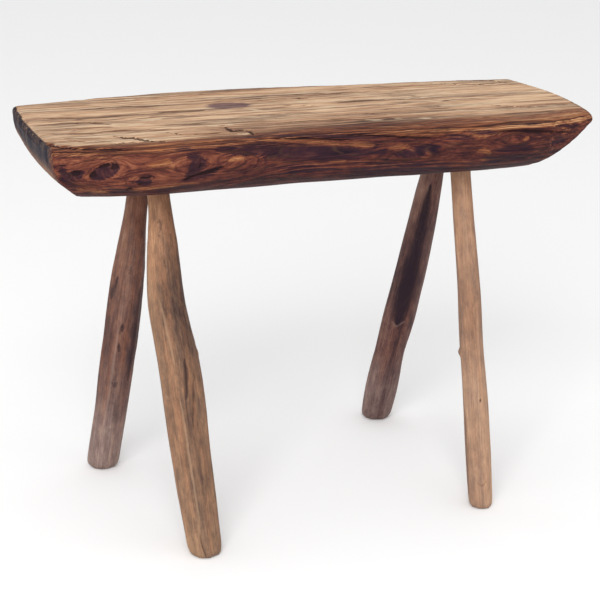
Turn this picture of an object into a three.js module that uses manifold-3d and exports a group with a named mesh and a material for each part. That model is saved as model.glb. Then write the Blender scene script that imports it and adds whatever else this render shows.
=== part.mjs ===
// A primitive milking stool: half of a split log, flat face up, standing on four splayed legs that
// were shaved down from billets. Each leg ends in a tapered tenon, driven into a blind socket bored
// in the underside of the seat. Nothing else holds it together.
//
// Millimetres. X runs along the seat, -Y is the front, Z is up, and the floor is at Z = 0.

import * as THREE from 'three';
import { mergeVertices } from 'three/addons/utils/BufferGeometryUtils.js';
import Module from 'manifold-3d';

const wasm = await Module();
wasm.setup();

// ---------------------------------------------------------------- driving dimensions

const SEAT_HEIGHT = 442; // floor to sitting face
const SEAT_LEFT = -298; // where the sitting face ends, halfway between the corners
const SEAT_RIGHT = 307.5;
const SEAT_HALF_WIDTH = 104; // nominal: the edges below vary around it
const SEAT_THICKNESS = 66; // nominal: the slab varies around it
const SEAT_BELLY = 3.2; // exponent of the section's sides: 2 is a half ellipse, more is squarer
const FRONT_ARRIS_IN = 20; // the front edge of the sitting face is worn into a broad shoulder: in and down
const FRONT_ARRIS_DOWN = 12;
const REAR_ARRIS = 6; // radii of its other worn edges
const LEFT_END_ARRIS = 7;
const RIGHT_END_ARRIS = 10;

// The rear and front edges of the sitting face as [x, distance from the middle line].
const REAR_EDGE = [[-300, 110], [-230, 124], [-160, 134], [-50, 139], [80, 128], [220, 120], [305, 109]];
const FRONT_EDGE = [[-300, 92], [-240, 106], [-160, 108], [-50, 98], [40, 97],
  [160, 106], [240, 107], [305, 87]];
// The depth of the slab as [x, depth].
const SLAB_DEPTH = [[-300, 63.5], [-200, 67], [0, 69], [130, 69], [305, 67]];

// Both ends are cut back towards the underside, like the ends of a trough.
const LEFT_CUT_START = 27; // depth of the upright end grain before the straight cut begins
const LEFT_CUT_TURN = [9, 11]; // how far in and down the end turns into the cut
const LEFT_CUT_RUN = 41; // how far the underside is cut back
const RIGHT_CUT_RUN = 85;
const RIGHT_CUT_PULL = [20, 31]; // in and down from the corner: where the right end's curve is drawn to
const LEFT_CUT_ROUND = 12; // how far the corner between the cut and the underside is worn
const LEFT_BULGE = 5; // the ends stand out a little in the middle of the width
const RIGHT_BULGE = 16.5;
const LEFT_SKEW = 2; // the ends aren't square: the rear corners lie this much further along +X
const RIGHT_SKEW = 3;

const HEAD_LEVEL = 397; // height at which each leg's head position is given
const TENON_TOP = 418; // the tenons stop here, 24 mm below the sitting face
const TENON_TAPER_START = 345; // above this a leg is round and straight
const FLATS_FADE = 50; // the flats die out over this height below it
const TENON_TOP_DIAMETER = 22;
const SOCKET_GAP = 0.35; // all round the tenon
const SOCKET_END_GAP = 1; // above the tenon
const FOOT_ROUND = 6; // height of the worn edge around each foot
const FOOT_SHRINK = 0.16; // share of the radius lost at the floor

const LEG_RINGS = 26;
const LEG_SIDES = 18;
const RING_CROWDING = 1.5; // above 1 the rings crowd towards the foot, where the edge is worn
const CORNER_PROUD = 1.02; // the corners between two flats, as a share of the nominal radius

// Each leg: foot centre on the floor, head centre at HEAD_LEVEL, diameter and bow along X as
// [height, value], and the flats left by the shaving knife as [bearing in degrees, share of the
// radius].
const LEGS = [
  {
    name: 'leg_front_left',
    color: 0xb08a63,
    foot: [-154, -131],
    head: [-179, -33],
    diameter: [[0, 40.5], [90, 46], [200, 48.5], [260, 43.5], [315, 36.5], [345, 28.5], [375, 24]],
    bow: [[0, 0], [110, -2], [190, -1.5], [265, -6.5], [345, -0.8], [385, 0], [420, 0]],
    flats: [[205, 0.9], [248, 0.93], [292, 0.9], [338, 0.92], [25, 0.93], [75, 0.9], [120, 0.93], [162, 0.91]],
  },
  {
    name: 'leg_front_right',
    color: 0xbb9772,
    foot: [179, -126],
    head: [172, -33],
    diameter: [[0, 29.5], [70, 31.5], [175, 29], [245, 28], [375, 24]],
    bow: [[0, 0], [50, 0.8], [120, 1.4], [170, 1], [240, 2], [350, 0.6], [420, 0]],
    flats: [[215, 0.92], [262, 0.94], [310, 0.92], [5, 0.94], [60, 0.92], [115, 0.94], [165, 0.93]],
  },
  {
    name: 'leg_back_left',
    color: 0x8a6242,
    foot: [-200.5, 116],
    head: [-173, 34],
    diameter: [[0, 39.5], [105, 40], [150, 41.5], [250, 39], [285, 33], [320, 28], [375, 24]],
    bow: [[0, 0], [110, 2], [220, 2], [350, 0.4], [420, 0]],
    flats: [[195, 0.91], [240, 0.93], [285, 0.9], [330, 0.93], [20, 0.92], [70, 0.91], [125, 0.93]],
  },
  {
    name: 'leg_back_right',
    color: 0x6b4630,
    foot: [170, 149],
    head: [181, 30],
    diameter: [[0, 40.5], [50, 45], [105, 41], [150, 43.5], [200, 42], [305, 35], [345, 28], [375, 24.5]],
    bow: [[0, 0], [105, -1.2], [150, 0.8], [240, 2], [350, 0.4], [420, 0]],
    flats: [[200, 0.92], [250, 0.9], [300, 0.93], [345, 0.91], [35, 0.93], [85, 0.92], [150, 0.9]],
  },
];

const SEAT_COLOR = 0x9a6a48;
const SEAT_ROUGHNESS = 0.85;
const LEG_ROUGHNESS = 0.8;

// ---------------------------------------------------------------- helpers

// A smooth function through [position, value] stops, held level beyond the first and the last.
function smoothThrough(stops) {
  const positions = stops.map((stop) => stop[0]);
  const values = stops.map((stop) => stop[1]);
  const curve = new THREE.CubicInterpolant(positions, values, 1);
  const first = positions[0];
  const last = positions[positions.length - 1];
  return (at) => curve.evaluate(THREE.MathUtils.clamp(at, first, last))[0];
}

// Moves every vertex of a geometry by a function of its position.
function reshape(geometry, move) {
  const points = geometry.attributes.position;
  const point = new THREE.Vector3();
  for (let i = 0; i < points.count; i++) {
    point.fromBufferAttribute(points, i);
    move(point);
    points.setXYZ(i, point.x, point.y, point.z);
  }
  return geometry;
}

function toSolid(geometry) {
  const bare = geometry.clone();
  bare.deleteAttribute('normal');
  bare.deleteAttribute('uv');
  const merged = mergeVertices(bare);
  return new wasm.Manifold(new wasm.Mesh({
    numProp: 3,
    vertProperties: new Float32Array(merged.attributes.position.array),
    triVerts: new Uint32Array(merged.index.array),
  }));
}

function toGeometry(solid) {
  const mesh = solid.getMesh();
  const geometry = new THREE.BufferGeometry();
  geometry.setAttribute('position', new THREE.BufferAttribute(mesh.vertProperties, 3));
  geometry.setIndex(new THREE.BufferAttribute(mesh.triVerts, 1));
  geometry.computeVertexNormals();
  return geometry;
}

// ---------------------------------------------------------------- legs

// A leg's centre line and its radius in any direction. Near the tenon the flats fade and the bow
// ends, so that the tenon is round and straight.
function makeLegShape(leg) {
  const diameter = smoothThrough(leg.diameter);
  const bow = smoothThrough(leg.bow);
  const flats = leg.flats.map(([bearing, share]) => [THREE.MathUtils.degToRad(bearing), share]);
  const neckHeight = leg.diameter[leg.diameter.length - 1][0];

  function centre(height) {
    const along = height / HEAD_LEVEL;
    return new THREE.Vector2(
      THREE.MathUtils.lerp(leg.foot[0], leg.head[0], along) + bow(height),
      THREE.MathUtils.lerp(leg.foot[1], leg.head[1], along),
    );
  }

  // The share of the full radius that the shaving knife left in one direction.
  function shavedShare(bearing) {
    let share = CORNER_PROUD;
    for (const [facing, depth] of flats) {
      const towards = Math.cos(bearing - facing);
      if (towards > 0.5) share = Math.min(share, depth * CORNER_PROUD / towards);
    }
    return share;
  }

  function radius(height, bearing) {
    const tenon = Math.max(0, (height - neckHeight) / (TENON_TOP - neckHeight));
    const round = THREE.MathUtils.lerp(diameter(height), TENON_TOP_DIAMETER, tenon) / 2;
    const fade = THREE.MathUtils.smoothstep(height, TENON_TAPER_START - FLATS_FADE, TENON_TAPER_START);
    const worn = Math.max(0, 1 - height / FOOT_ROUND);
    const shaved = THREE.MathUtils.lerp(shavedShare(bearing), 1, fade);
    return round * shaved * (1 - FOOT_SHRINK * worn * worn);
  }

  return { centre, radius };
}

// A solid that follows a leg from one height to another, grown all round by a gap. Its rings are
// level, so a foot that ends at the floor is flat on it.
function legGeometry(leg, from, to, rings, gap) {
  const shape = makeLegShape(leg);
  const geometry = new THREE.CylinderGeometry(1, 1, 1, LEG_SIDES, rings);
  geometry.rotateX(Math.PI / 2);
  return reshape(geometry, (point) => {
    const share = (point.z + 0.5) ** RING_CROWDING;
    const height = THREE.MathUtils.lerp(from, to, share);
    const bearing = Math.atan2(point.y, point.x);
    const onRim = Math.hypot(point.x, point.y) > 0.5;
    const radius = onRim ? shape.radius(height, bearing) + gap : 0;
    const centre = shape.centre(height);
    point.set(centre.x + radius * Math.cos(bearing), centre.y + radius * Math.sin(bearing), height);
  });
}

// ---------------------------------------------------------------- seat

// The cross-section of the log half, front to the left: flat on top, worn arrises, and a belly that
// rounds under.
function seatSection() {
  const pointsRound = 20;
  const outline = new THREE.Shape();
  outline.moveTo(-(SEAT_HALF_WIDTH - FRONT_ARRIS_IN), 0);
  outline.lineTo(SEAT_HALF_WIDTH - REAR_ARRIS, 0);
  outline.quadraticCurveTo(SEAT_HALF_WIDTH, 0, SEAT_HALF_WIDTH, -REAR_ARRIS);
  for (let i = 1; i < pointsRound; i++) {
    const turn = Math.PI * i / pointsRound;
    const across = Math.sign(Math.cos(turn)) * Math.abs(Math.cos(turn)) ** (2 / SEAT_BELLY);
    const down = Math.sin(turn) ** (2 / SEAT_BELLY);
    if (down * SEAT_THICKNESS > 1.2 * FRONT_ARRIS_DOWN) {
      outline.lineTo(across * SEAT_HALF_WIDTH, -down * SEAT_THICKNESS);
    }
  }
  outline.lineTo(-SEAT_HALF_WIDTH, -FRONT_ARRIS_DOWN);
  outline.quadraticCurveTo(-SEAT_HALF_WIDTH, 0, -(SEAT_HALF_WIDTH - FRONT_ARRIS_IN), 0);
  return outline;
}

// The section run along X, widened and thickened to follow the edges of the real slab.
function seatLog() {
  const overrun = 30;
  const length = SEAT_RIGHT - SEAT_LEFT + 2 * overrun;
  const geometry = new THREE.ExtrudeGeometry(seatSection(), {
    depth: length, steps: 22, bevelEnabled: false, curveSegments: 4,
  });
  const rear = smoothThrough(REAR_EDGE);
  const front = smoothThrough(FRONT_EDGE);
  const slab = smoothThrough(SLAB_DEPTH);
  return reshape(geometry, (point) => {
    const x = SEAT_LEFT - overrun + point.z;
    const y = point.x;
    const z = point.y;
    const edge = y > 0 ? rear(x) : front(x);
    point.set(x, y * edge / SEAT_HALF_WIDTH, SEAT_HEIGHT + z * slab(x) / SEAT_THICKNESS);
  });
}

// The seat seen from the front, run across Y: it gives both ends their cut-back shape.
function seatEnds() {
  const halfReach = 160; // past both edges of the seat
  const above = 10;
  const below = -90;
  const [turnIn, turnDown] = LEFT_CUT_TURN;
  const [pullIn, pullDown] = RIGHT_CUT_PULL;
  const outline = new THREE.Shape();
  outline.moveTo(SEAT_LEFT + LEFT_END_ARRIS, above);
  outline.lineTo(SEAT_LEFT + LEFT_END_ARRIS, 0);
  outline.quadraticCurveTo(SEAT_LEFT, 0, SEAT_LEFT, -LEFT_END_ARRIS);
  outline.quadraticCurveTo(SEAT_LEFT, -LEFT_CUT_START, SEAT_LEFT + turnIn, -LEFT_CUT_START - turnDown);
  const cutEnd = SEAT_LEFT + LEFT_CUT_RUN;
  outline.lineTo(cutEnd - LEFT_CUT_ROUND / 2, -SEAT_THICKNESS + LEFT_CUT_ROUND / 2);
  outline.quadraticCurveTo(cutEnd, -SEAT_THICKNESS, cutEnd + LEFT_CUT_ROUND, -SEAT_THICKNESS - 1);
  outline.lineTo(SEAT_LEFT + 2 * LEFT_CUT_RUN, below);
  outline.lineTo(SEAT_RIGHT - 2 * RIGHT_CUT_RUN, below);
  outline.lineTo(SEAT_RIGHT - RIGHT_CUT_RUN, -SEAT_THICKNESS);
  outline.quadraticCurveTo(SEAT_RIGHT - pullIn, -pullDown, SEAT_RIGHT, -RIGHT_END_ARRIS);
  outline.quadraticCurveTo(SEAT_RIGHT, 0, SEAT_RIGHT - RIGHT_END_ARRIS, 0);
  outline.lineTo(SEAT_RIGHT - RIGHT_END_ARRIS, above);
  outline.closePath();
  const geometry = new THREE.ExtrudeGeometry(outline, {
    depth: 2 * halfReach, steps: 10, bevelEnabled: false, curveSegments: 6,
  });
  return reshape(geometry, (point) => {
    const y = halfReach - point.z;
    const inset = 1 - Math.min(1, (y / SEAT_HALF_WIDTH) ** 2);
    const bulge = point.x < 0 ? -LEFT_BULGE : RIGHT_BULGE;
    const skew = (point.x < 0 ? LEFT_SKEW : RIGHT_SKEW) * y / SEAT_HALF_WIDTH;
    point.set(point.x + bulge * inset + skew, y, SEAT_HEIGHT + point.y);
  });
}

function seatGeometry() {
  let seat = toSolid(seatLog()).intersect(toSolid(seatEnds()));
  const mouth = SEAT_HEIGHT - SEAT_THICKNESS - 20; // well below the underside, to cut right through it
  for (const leg of LEGS) {
    const socket = legGeometry(leg, mouth, TENON_TOP + SOCKET_END_GAP, 6, SOCKET_GAP);
    seat = seat.subtract(toSolid(socket));
  }
  return toGeometry(seat);
}

// ---------------------------------------------------------------- assembly

const stool = new THREE.Group();

function addPiece(name, geometry, color, roughness) {
  const mesh = new THREE.Mesh(geometry, new THREE.MeshStandardMaterial({ color, roughness, metalness: 0 }));
  mesh.name = name;
  stool.add(mesh);
}

addPiece('seat', seatGeometry(), SEAT_COLOR, SEAT_ROUGHNESS);
for (const leg of LEGS) {
  const solid = toSolid(legGeometry(leg, 0, TENON_TOP, LEG_RINGS, 0));
  addPiece(leg.name, toGeometry(solid), leg.color, LEG_ROUGHNESS);
}

// The part's origin is the middle of its outline on the floor.
const middle = new THREE.Box3().setFromObject(stool).getCenter(new THREE.Vector3());
stool.position.set(-middle.x, -middle.y, 0);
stool.updateMatrixWorld(true);

export default stool;
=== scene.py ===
import math

import bpy
import numpy as np
from mathutils import Matrix, Vector


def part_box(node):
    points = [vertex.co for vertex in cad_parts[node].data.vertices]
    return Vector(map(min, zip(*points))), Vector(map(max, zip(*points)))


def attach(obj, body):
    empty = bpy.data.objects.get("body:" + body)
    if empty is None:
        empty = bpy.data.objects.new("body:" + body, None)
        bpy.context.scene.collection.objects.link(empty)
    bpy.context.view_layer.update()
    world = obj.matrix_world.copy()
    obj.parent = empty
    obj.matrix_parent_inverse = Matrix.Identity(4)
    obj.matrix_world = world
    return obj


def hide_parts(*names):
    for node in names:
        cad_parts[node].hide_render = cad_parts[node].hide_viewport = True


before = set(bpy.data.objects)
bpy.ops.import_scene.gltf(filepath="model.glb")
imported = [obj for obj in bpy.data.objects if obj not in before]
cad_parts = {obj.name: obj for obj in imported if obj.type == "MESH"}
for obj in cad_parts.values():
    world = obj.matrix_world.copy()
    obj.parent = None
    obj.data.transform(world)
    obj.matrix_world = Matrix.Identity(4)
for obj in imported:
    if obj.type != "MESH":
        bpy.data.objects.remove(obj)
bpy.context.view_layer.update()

scene = bpy.context.scene

# ---------------- sizes, in millimetres unless they say metres
MM = 0.001
SEED = 41
SEAT_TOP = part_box("seat")[1].z / MM
SQUEEZE = 0.4  # the fine meshes have longer cells along the grain
SEAT_CELL = 0.00141  # metres
LEG_CELL = 0.0008  # metres
SEAT_SOFTENING = 5  # rounds of smoothing
LEG_SOFTENING = 18
LEAST_HALF = 0.25  # of a stroke, at its ends

SEAT_PITH = (15, -20)  # middle of the tree: y, and depth below the sitting face
SEAT_RING = 2.9  # spacing of the growth rings
MARKS_MIDDLE = -3.25  # x that the seat's marks are laid out from
REAR_TURN = -26  # x of a near mark plus x of its twin on the far side
MARK_REACH = 14  # the furthest that distances to a mark go
TOP_REACH = 60  # and those to the rim of the weathered top
SHOULDER_DEPTHS = (14, 26)  # marks are laid over the shoulder down to here
MARKED_DEPTH = 8  # marks of the sitting face reach this deep
TOP_DEPTH = 10  # and its weathering this deep
CHIPPED_DEPTH = 20  # the ends' rims are chipped down to here
SOCKET_DEPTH = 12  # sockets matter only below this depth
SOCKET_CLEARANCE = 15  # the seat keeps its shape this close to a leg's axis
SOCKET_FADE = 8
EDGE_BIN = 8  # strips in which the seat's edges are found
CRACK_DEPTH = 1.7
LINE_DEPTH = 0.5
PATCH_DEPTH = 0.6
STAIN_DEPTH = 0.25
SPLIT_DEPTH = 0.8
CHIP_DEPTH = 1.1
NOSE_CHIPS = 0.3  # share of the others' depth
NOSE_WRAP = 100  # y that the fibres at the nose's sides keep
NOSE_HALF = 40  # half the width over which they turn

LEG_PITH = (-52, 30)  # middle of the tree in a leg's own frame
LEG_RING = 3.1
LEG_BIN = 6  # slices in which a leg's centre line is found
LEG_TURN = 380  # height of a mark plus height of its hidden twin
FACET_LENGTH = 68  # of a leg's knife facets
NUB_HEIGHT = 2.4  # the stub of a twig
NUB_SIZE = 3.6
NECK_LEVEL = 366  # legs keep their exact CAD shape above this height
NECK_FADE = 14

# ---------------- light and camera, metres and degrees
LIGHT = 1.27  # how much brighter than its paint a surface looks
HAZE = 0.004  # what its faint gloss adds
GLOSS = 0.14
FLOOR_SIZE = 60
FLOOR_SHADE = 0.94
FLOOR_ROUGHNESS = 0.9
SKY_STRENGTH = 0.85
LAMP_PLACE = (-1.3, -2.2, 2.2)
LAMP_AIM = (0, 0, 0.3)
LAMP_SIZE = 1.8
LAMP_WATTS = 60
CAMERA_PLACE = (-0.6567, -1.596, 0.8233)
CAMERA_YAW = 22.16
CAMERA_PITCH = 19.24
CAMERA_ROLL = 1.605
CAMERA_LENS = 96.68
CAMERA_SENSOR = 36
CAMERA_REACH = 100
EAST, NORTH = math.cos(math.radians(CAMERA_YAW)), math.sin(math.radians(CAMERA_YAW))
VIEW_RIGHT, VIEW_AWAY = np.array([EAST, -NORTH, 0]), np.array([NORTH, EAST, 0])


# ---------------- helpers for the shapes
def smoothstep(low, high, value):
    """0 below low, 1 above high, smooth between."""
    t = np.clip((value - low) / (high - low), 0, 1)
    return t * t * (3 - 2 * t)


class Noise:
    """Smooth seeded noise in three dimensions, from about -1 to 1."""

    TABLE = 256
    GAIN = 1.55

    def __init__(self, seed):
        random = np.random.default_rng(seed)
        self.order = random.permutation(self.TABLE)
        slopes = random.normal(size=(self.TABLE, 3))
        self.slopes = slopes / np.linalg.norm(slopes, axis=1)[:, None]

    def corner(self, cell):
        """The slope at each whole-number corner."""
        last = self.TABLE - 1
        mixed = self.order[cell[:, 0] & last]
        mixed = self.order[(mixed + cell[:, 1]) & last]
        mixed = self.order[(mixed + cell[:, 2]) & last]
        return self.slopes[mixed]

    def __call__(self, points, size):
        """Noise at points, whose features measure size (one number or three)."""
        scaled = points / np.asarray(size, float)
        cell = np.floor(scaled).astype(int)
        part = scaled - cell
        fade = part ** 3 * (part * (part * 6 - 15) + 10)
        total = np.zeros(len(points))
        for corner in np.ndindex(2, 2, 2):
            corner = np.array(corner)
            weight = np.where(corner == 1, fade, 1 - fade).prod(axis=1)
            total += weight * (self.corner(cell + corner) * (part - corner)).sum(axis=1)
        return total * self.GAIN


def line_runs(x, s, points, width):
    """How far every vertex is from each run of a line, and half its width there, which thins to both ends."""
    points = np.array(points, float)
    steps = np.linalg.norm(np.diff(points, axis=0), axis=1)
    reached = np.concatenate([[0], np.cumsum(steps)])
    for start, end, before, step in zip(points[:-1], points[1:], reached[:-1], steps):
        run = (end - start) / step
        along = np.clip((x - start[0]) * run[0] + (s - start[1]) * run[1], 0, step)
        away = np.hypot(x - start[0] - run[0] * along, s - start[1] - run[1] * along)
        share = (before + along) / reached[-1]
        yield away, 0.5 * width * np.maximum(np.sin(np.pi * share), 0) ** 0.5


def stroke(x, s, points, width, edge):
    """1 on a line, 0 away from it. edge is where it starts and stops fading, in half widths."""
    mark = np.zeros(len(x))
    for away, half in line_runs(x, s, points, width):
        mark = np.maximum(mark, 1 - smoothstep(*edge, away / (half + LEAST_HALF)))
    return mark


def oval_reach(x, s, centre, radii, tilt):
    """Distance from an oval's middle, 1 at its rim, and millimetres across it. tilt turns it to the left."""
    c, k = math.cos(math.radians(tilt)), math.sin(math.radians(tilt))
    dx, ds = x - centre[0], s - centre[1]
    along, across = dx * c - ds * k, dx * k + ds * c
    return np.hypot(along / radii[0], across / radii[1]), across


def slices(values, width):
    """Cuts the range of some values into slices: where each starts, and a mask of what it holds."""
    starts = np.arange(values.min(), values.max(), width)
    index = np.digitize(values, starts) - 1
    return starts, [index == number for number in range(len(starts))]


def fine_copy(node, name, to_grain, cell, rounds):
    """A copy of a CAD node with small cells, which to_grain lays along the grain and makes longer there."""
    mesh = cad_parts[node].data.copy()
    mesh.transform(to_grain)
    piece = bpy.data.objects.new(name, mesh)
    scene.collection.objects.link(piece)
    remesh = piece.modifiers.new("cells", "REMESH")
    remesh.mode = "VOXEL"
    remesh.voxel_size = cell
    soften = piece.modifiers.new("soften", "SMOOTH")
    soften.iterations = rounds
    evaluated = piece.evaluated_get(bpy.context.evaluated_depsgraph_get())
    fine = bpy.data.meshes.new_from_object(evaluated)
    piece.modifiers.clear()
    piece.data = fine
    bpy.data.meshes.remove(mesh)
    fine.transform(to_grain.inverted())
    fine.materials.clear()
    fine.name = name
    fine.shade_smooth()
    return piece


def read_points(mesh):
    """Vertex places in millimetres and their normals."""
    places = np.zeros(len(mesh.vertices) * 3)
    normals = np.zeros(len(mesh.vertices) * 3)
    mesh.vertices.foreach_get("co", places)
    mesh.vertices.foreach_get("normal", normals)
    return places.reshape(-1, 3) / MM, normals.reshape(-1, 3)


def write_points(mesh, node, places):
    """Moves the vertices, which never leave the CAD node's box."""
    low, high = (np.array(corner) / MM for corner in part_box(node))
    mesh.vertices.foreach_set("co", (np.clip(places, low, high) * MM).ravel())
    mesh.update()


def finish_piece(piece, node, material, values):
    """Keeps values at the vertices, for the material to read, and lets the piece stand for a CAD node."""
    for name, numbers in values.items():
        numbers = np.asarray(numbers, np.float32)
        kind, key = ("FLOAT", "value") if numbers.ndim == 1 else ("FLOAT_VECTOR", "vector")
        piece.data.attributes.new(name, kind, "POINT").data.foreach_set(key, numbers.ravel())
    piece.data.materials.append(material)
    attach(piece, "root")
    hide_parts(node)


# ---------------- helpers for the materials
def linear(colour):
    """The paint that looks like this screen colour, from 0 to 255, under the studio light."""
    parts = [c / 255 for c in colour]
    parts = [c / 12.92 if c <= 0.04045 else ((c + 0.055) / 1.055) ** 2.4 for c in parts]
    return (*(max(part - HAZE, 0) / LIGHT for part in parts), 1)


def even(*colours):
    """A ramp's stops at even steps from 0 to 1."""
    return [(number / (len(colours) - 1), colour) for number, colour in enumerate(colours)]


class Paint:
    """Builds the nodes of one material."""

    def __init__(self, name):
        self.material = bpy.data.materials.new(name)
        self.material.use_nodes = True
        self.tree = self.material.node_tree
        self.tree.nodes.clear()

    def node(self, kind, inputs, **settings):
        made = self.tree.nodes.new(kind)
        for key, value in settings.items():
            setattr(made, key, value)
        for key, value in inputs.items():
            if isinstance(value, bpy.types.NodeSocket):
                self.tree.links.new(value, made.inputs[key])
            else:
                made.inputs[key].default_value = value
        return made

    def attribute(self, name, vector=False):
        made = self.node("ShaderNodeAttribute", {}, attribute_name=name)
        return made.outputs["Vector" if vector else "Fac"]

    def math(self, operation, a, b=0):
        return self.node("ShaderNodeMath", {0: a, 1: b}, operation=operation).outputs[0]

    def add(self, first, *others):
        for other in others:
            first = self.math("ADD", first, other)
        return first

    def times(self, a, b):
        return self.math("MULTIPLY", a, b)

    def mixed(self, start, values, weights):
        """start plus each of the named values times its weight."""
        for name, weight in weights.items():
            start = self.add(start, self.times(values[name], weight))
        return start

    def noise(self, vector, size, detail=2, roughness=0.5):
        """Noise from 0 to 1, whose features measure size millimetres in each direction."""
        factors = tuple(1 / part for part in size)
        stretched = self.node("ShaderNodeVectorMath", {0: vector, 1: factors}, operation="MULTIPLY")
        inputs = {"Vector": stretched.outputs[0], "Scale": 1, "Detail": detail, "Roughness": roughness}
        return self.node("ShaderNodeTexNoise", inputs).outputs["Fac"]

    def centred(self, value):
        """Noise turned into a number that is mostly from -0.5 to 0.5."""
        return self.times(self.math("SUBTRACT", value, 0.5), 2.2)

    def grain(self, vector, size, detail, roughness):
        return self.centred(self.noise(vector, size, detail, roughness))

    def noise_line(self, value, size, detail=1):
        """Noise along one number."""
        inputs = {"W": self.times(value, 1 / size), "Scale": 1, "Detail": detail}
        return self.node("ShaderNodeTexNoise", inputs, noise_dimensions="1D").outputs["Fac"]

    def step(self, value, low, high, start=0, end=1):
        """Smooth change from start to end as value goes from low to high."""
        inputs = {"Value": value, "From Min": low, "From Max": high, "To Min": start, "To Max": end}
        made = self.node("ShaderNodeMapRange", inputs, interpolation_type="SMOOTHSTEP")
        return made.outputs["Result"]

    def cover(self, edge, low, high):
        """1 where an edge's distance is below low, 0 above high."""
        return self.step(edge, low, high, 1, 0)

    def ramp(self, value, stops):
        made = self.node("ShaderNodeValToRGB", {"Fac": value})
        elements = made.color_ramp.elements
        while len(elements) < len(stops):
            elements.new(0.5)
        for element, (place, colour) in zip(elements, stops):
            element.position = place
        for element, (place, colour) in zip(elements, stops):
            element.color = linear(colour)
        return made.outputs["Color"]

    def curve(self, value, stops):
        """Like ramp, for plain numbers."""
        made = self.node("ShaderNodeFloatCurve", {"Value": value})
        points = made.mapping.curves[0].points
        while len(points) < len(stops):
            points.new(0.5, 0.5)
        for point, (place, height) in zip(points, stops):
            point.location = (place, height)
        made.mapping.update()
        return made.outputs["Value"]

    def blend(self, factor, a, b):
        """Colour a where factor is 0, b where it is 1."""
        return self.node("ShaderNodeMix", {0: factor, 6: a, 7: b}, data_type="RGBA").outputs[2]

    def lay(self, colour, cover, strength, paint):
        """Covers colour with paint, by so much of the cover."""
        return self.blend(self.times(cover, strength), colour, paint)

    def late_wood(self, ring, spacing, wobble, shape, *shifts):
        """Dark lines of the growth rings. wobble is the size of their waves and how far they sway."""
        size, sway = wobble
        ring = self.add(ring, self.times(self.noise_line(ring, size), sway), *shifts)
        return self.curve(self.math("FRACT", self.times(ring, 1 / spacing)), shape)

    def finish(self, colour, roughness, height, depth):
        """Joins colour, roughness and a height in millimetres into the surface."""
        bump = self.node("ShaderNodeBump", {"Height": height, "Strength": 1, "Distance": depth * MM})
        shader = self.node("ShaderNodeBsdfPrincipled", {
            "Base Color": colour,
            "Roughness": roughness,
            "Specular IOR Level": GLOSS,
            "Normal": bump.outputs["Normal"],
        })
        self.node("ShaderNodeOutputMaterial", {"Surface": shader.outputs["BSDF"]})
        return self.material


# ---------------- the seat's marks
# Marks on the near side are (x, s), where s is the distance below the front edge of the sitting face,
# measured over the shoulder. It is negative on the sitting face itself.
GRAIN_EYES = [
    # centre, radii and tilt of the ovals that the grain flows round, and how far the rings rise in them
    ((-259, 24), (22, 9), 14, 9), ((-222, 36), (12, 6), 10, 6), ((-171, 21), (17, 9), 0, 8),
    ((-118, 24), (24, 9), 0, 8), ((-285, 29), (10, 5), 8, 5), ((-45, 20), (55, 6), -2, 3),
    ((82, 28), (26, 6), 6, 3), ((193, 19), (16, 6), 0, 8),
]
EYE_REACH = 3.2  # the grain is straight again this many radii away
# How light the worn shoulder is, by x, and the s where the weathered top ends.
SHOULDER_SHADE = [(-310, 0.38), (-110, 0.34), (20, 0.37), (120, 0.48), (200, 0.65), (310, 0.65)]
SHOULDER_TOP = [(-314, -50), (-303, -30), (-298, -17), (-284, -14), (-110, -15), (-90, -22), (-40, -19),
                (10, -25), (90, -26), (140, -32), (175, -30), (250, -25), (300, -24)]
REAR_SHOULDER_TOP = -8  # the same at the back
# Each line is its points and its greatest width, and it thins towards both ends.
CRACKS = [
    ([(-310, -30), (-304, -20), (-297, -11), (-284, -8), (-262, -7), (-228, -2)], 4.2),
    ([(-100, -5), (-70, -1), (-50, 2), (-29, 5), (-12, 8), (10, 11)], 2.6),
    ([(0, 1), (28, 6), (61, 10), (90, 12), (118, 12)], 2),
    ([(174, 9), (200, 10), (230, 13), (251, 16), (270, 19)], 2.2),
    ([(-246, -36), (-244, -25), (-240, -20), (-232, -25), (-222, -23), (-212, -17)], 2.4),
    ([(-268, 22), (-260, 17), (-248, 17)], 2.2), ([(-177, 39), (-160, 34), (-149, 31), (-134, 28)], 3.4),
    ([(-164, 14), (-159, 22), (-163, 29)], 2.4),
]
KNOTS = [
    # centre, radii, tilt
    ((-269, 28), (4.4, 3), 40), ((-250, 20), (4.6, 3), 30), ((-286, 26), (3.6, 3), 10),
    ((-220, 34), (2.8, 2.4), 0), ((-213, 33), (1.8, 1.5), 0), ((-222, 41), (2.4, 1.5), 0),
    ((-231, 46), (3.4, 1.8), 30), ((-149, 32), (6, 2.6), 20),
]
OVAL_STRENGTH = 3  # above 1 the fibres tear less into a dark oval
DARK_OVALS = [
    ((-258, 24.5), (15, 8.5), 28), ((-286, 27), (8.5, 5.5), 15), ((-218, 37), (8, 5.5), 0),
    ((-165, 23), (6.5, 10.5), -10), ((-151, 33), (13, 4.2), 18),
]
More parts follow.
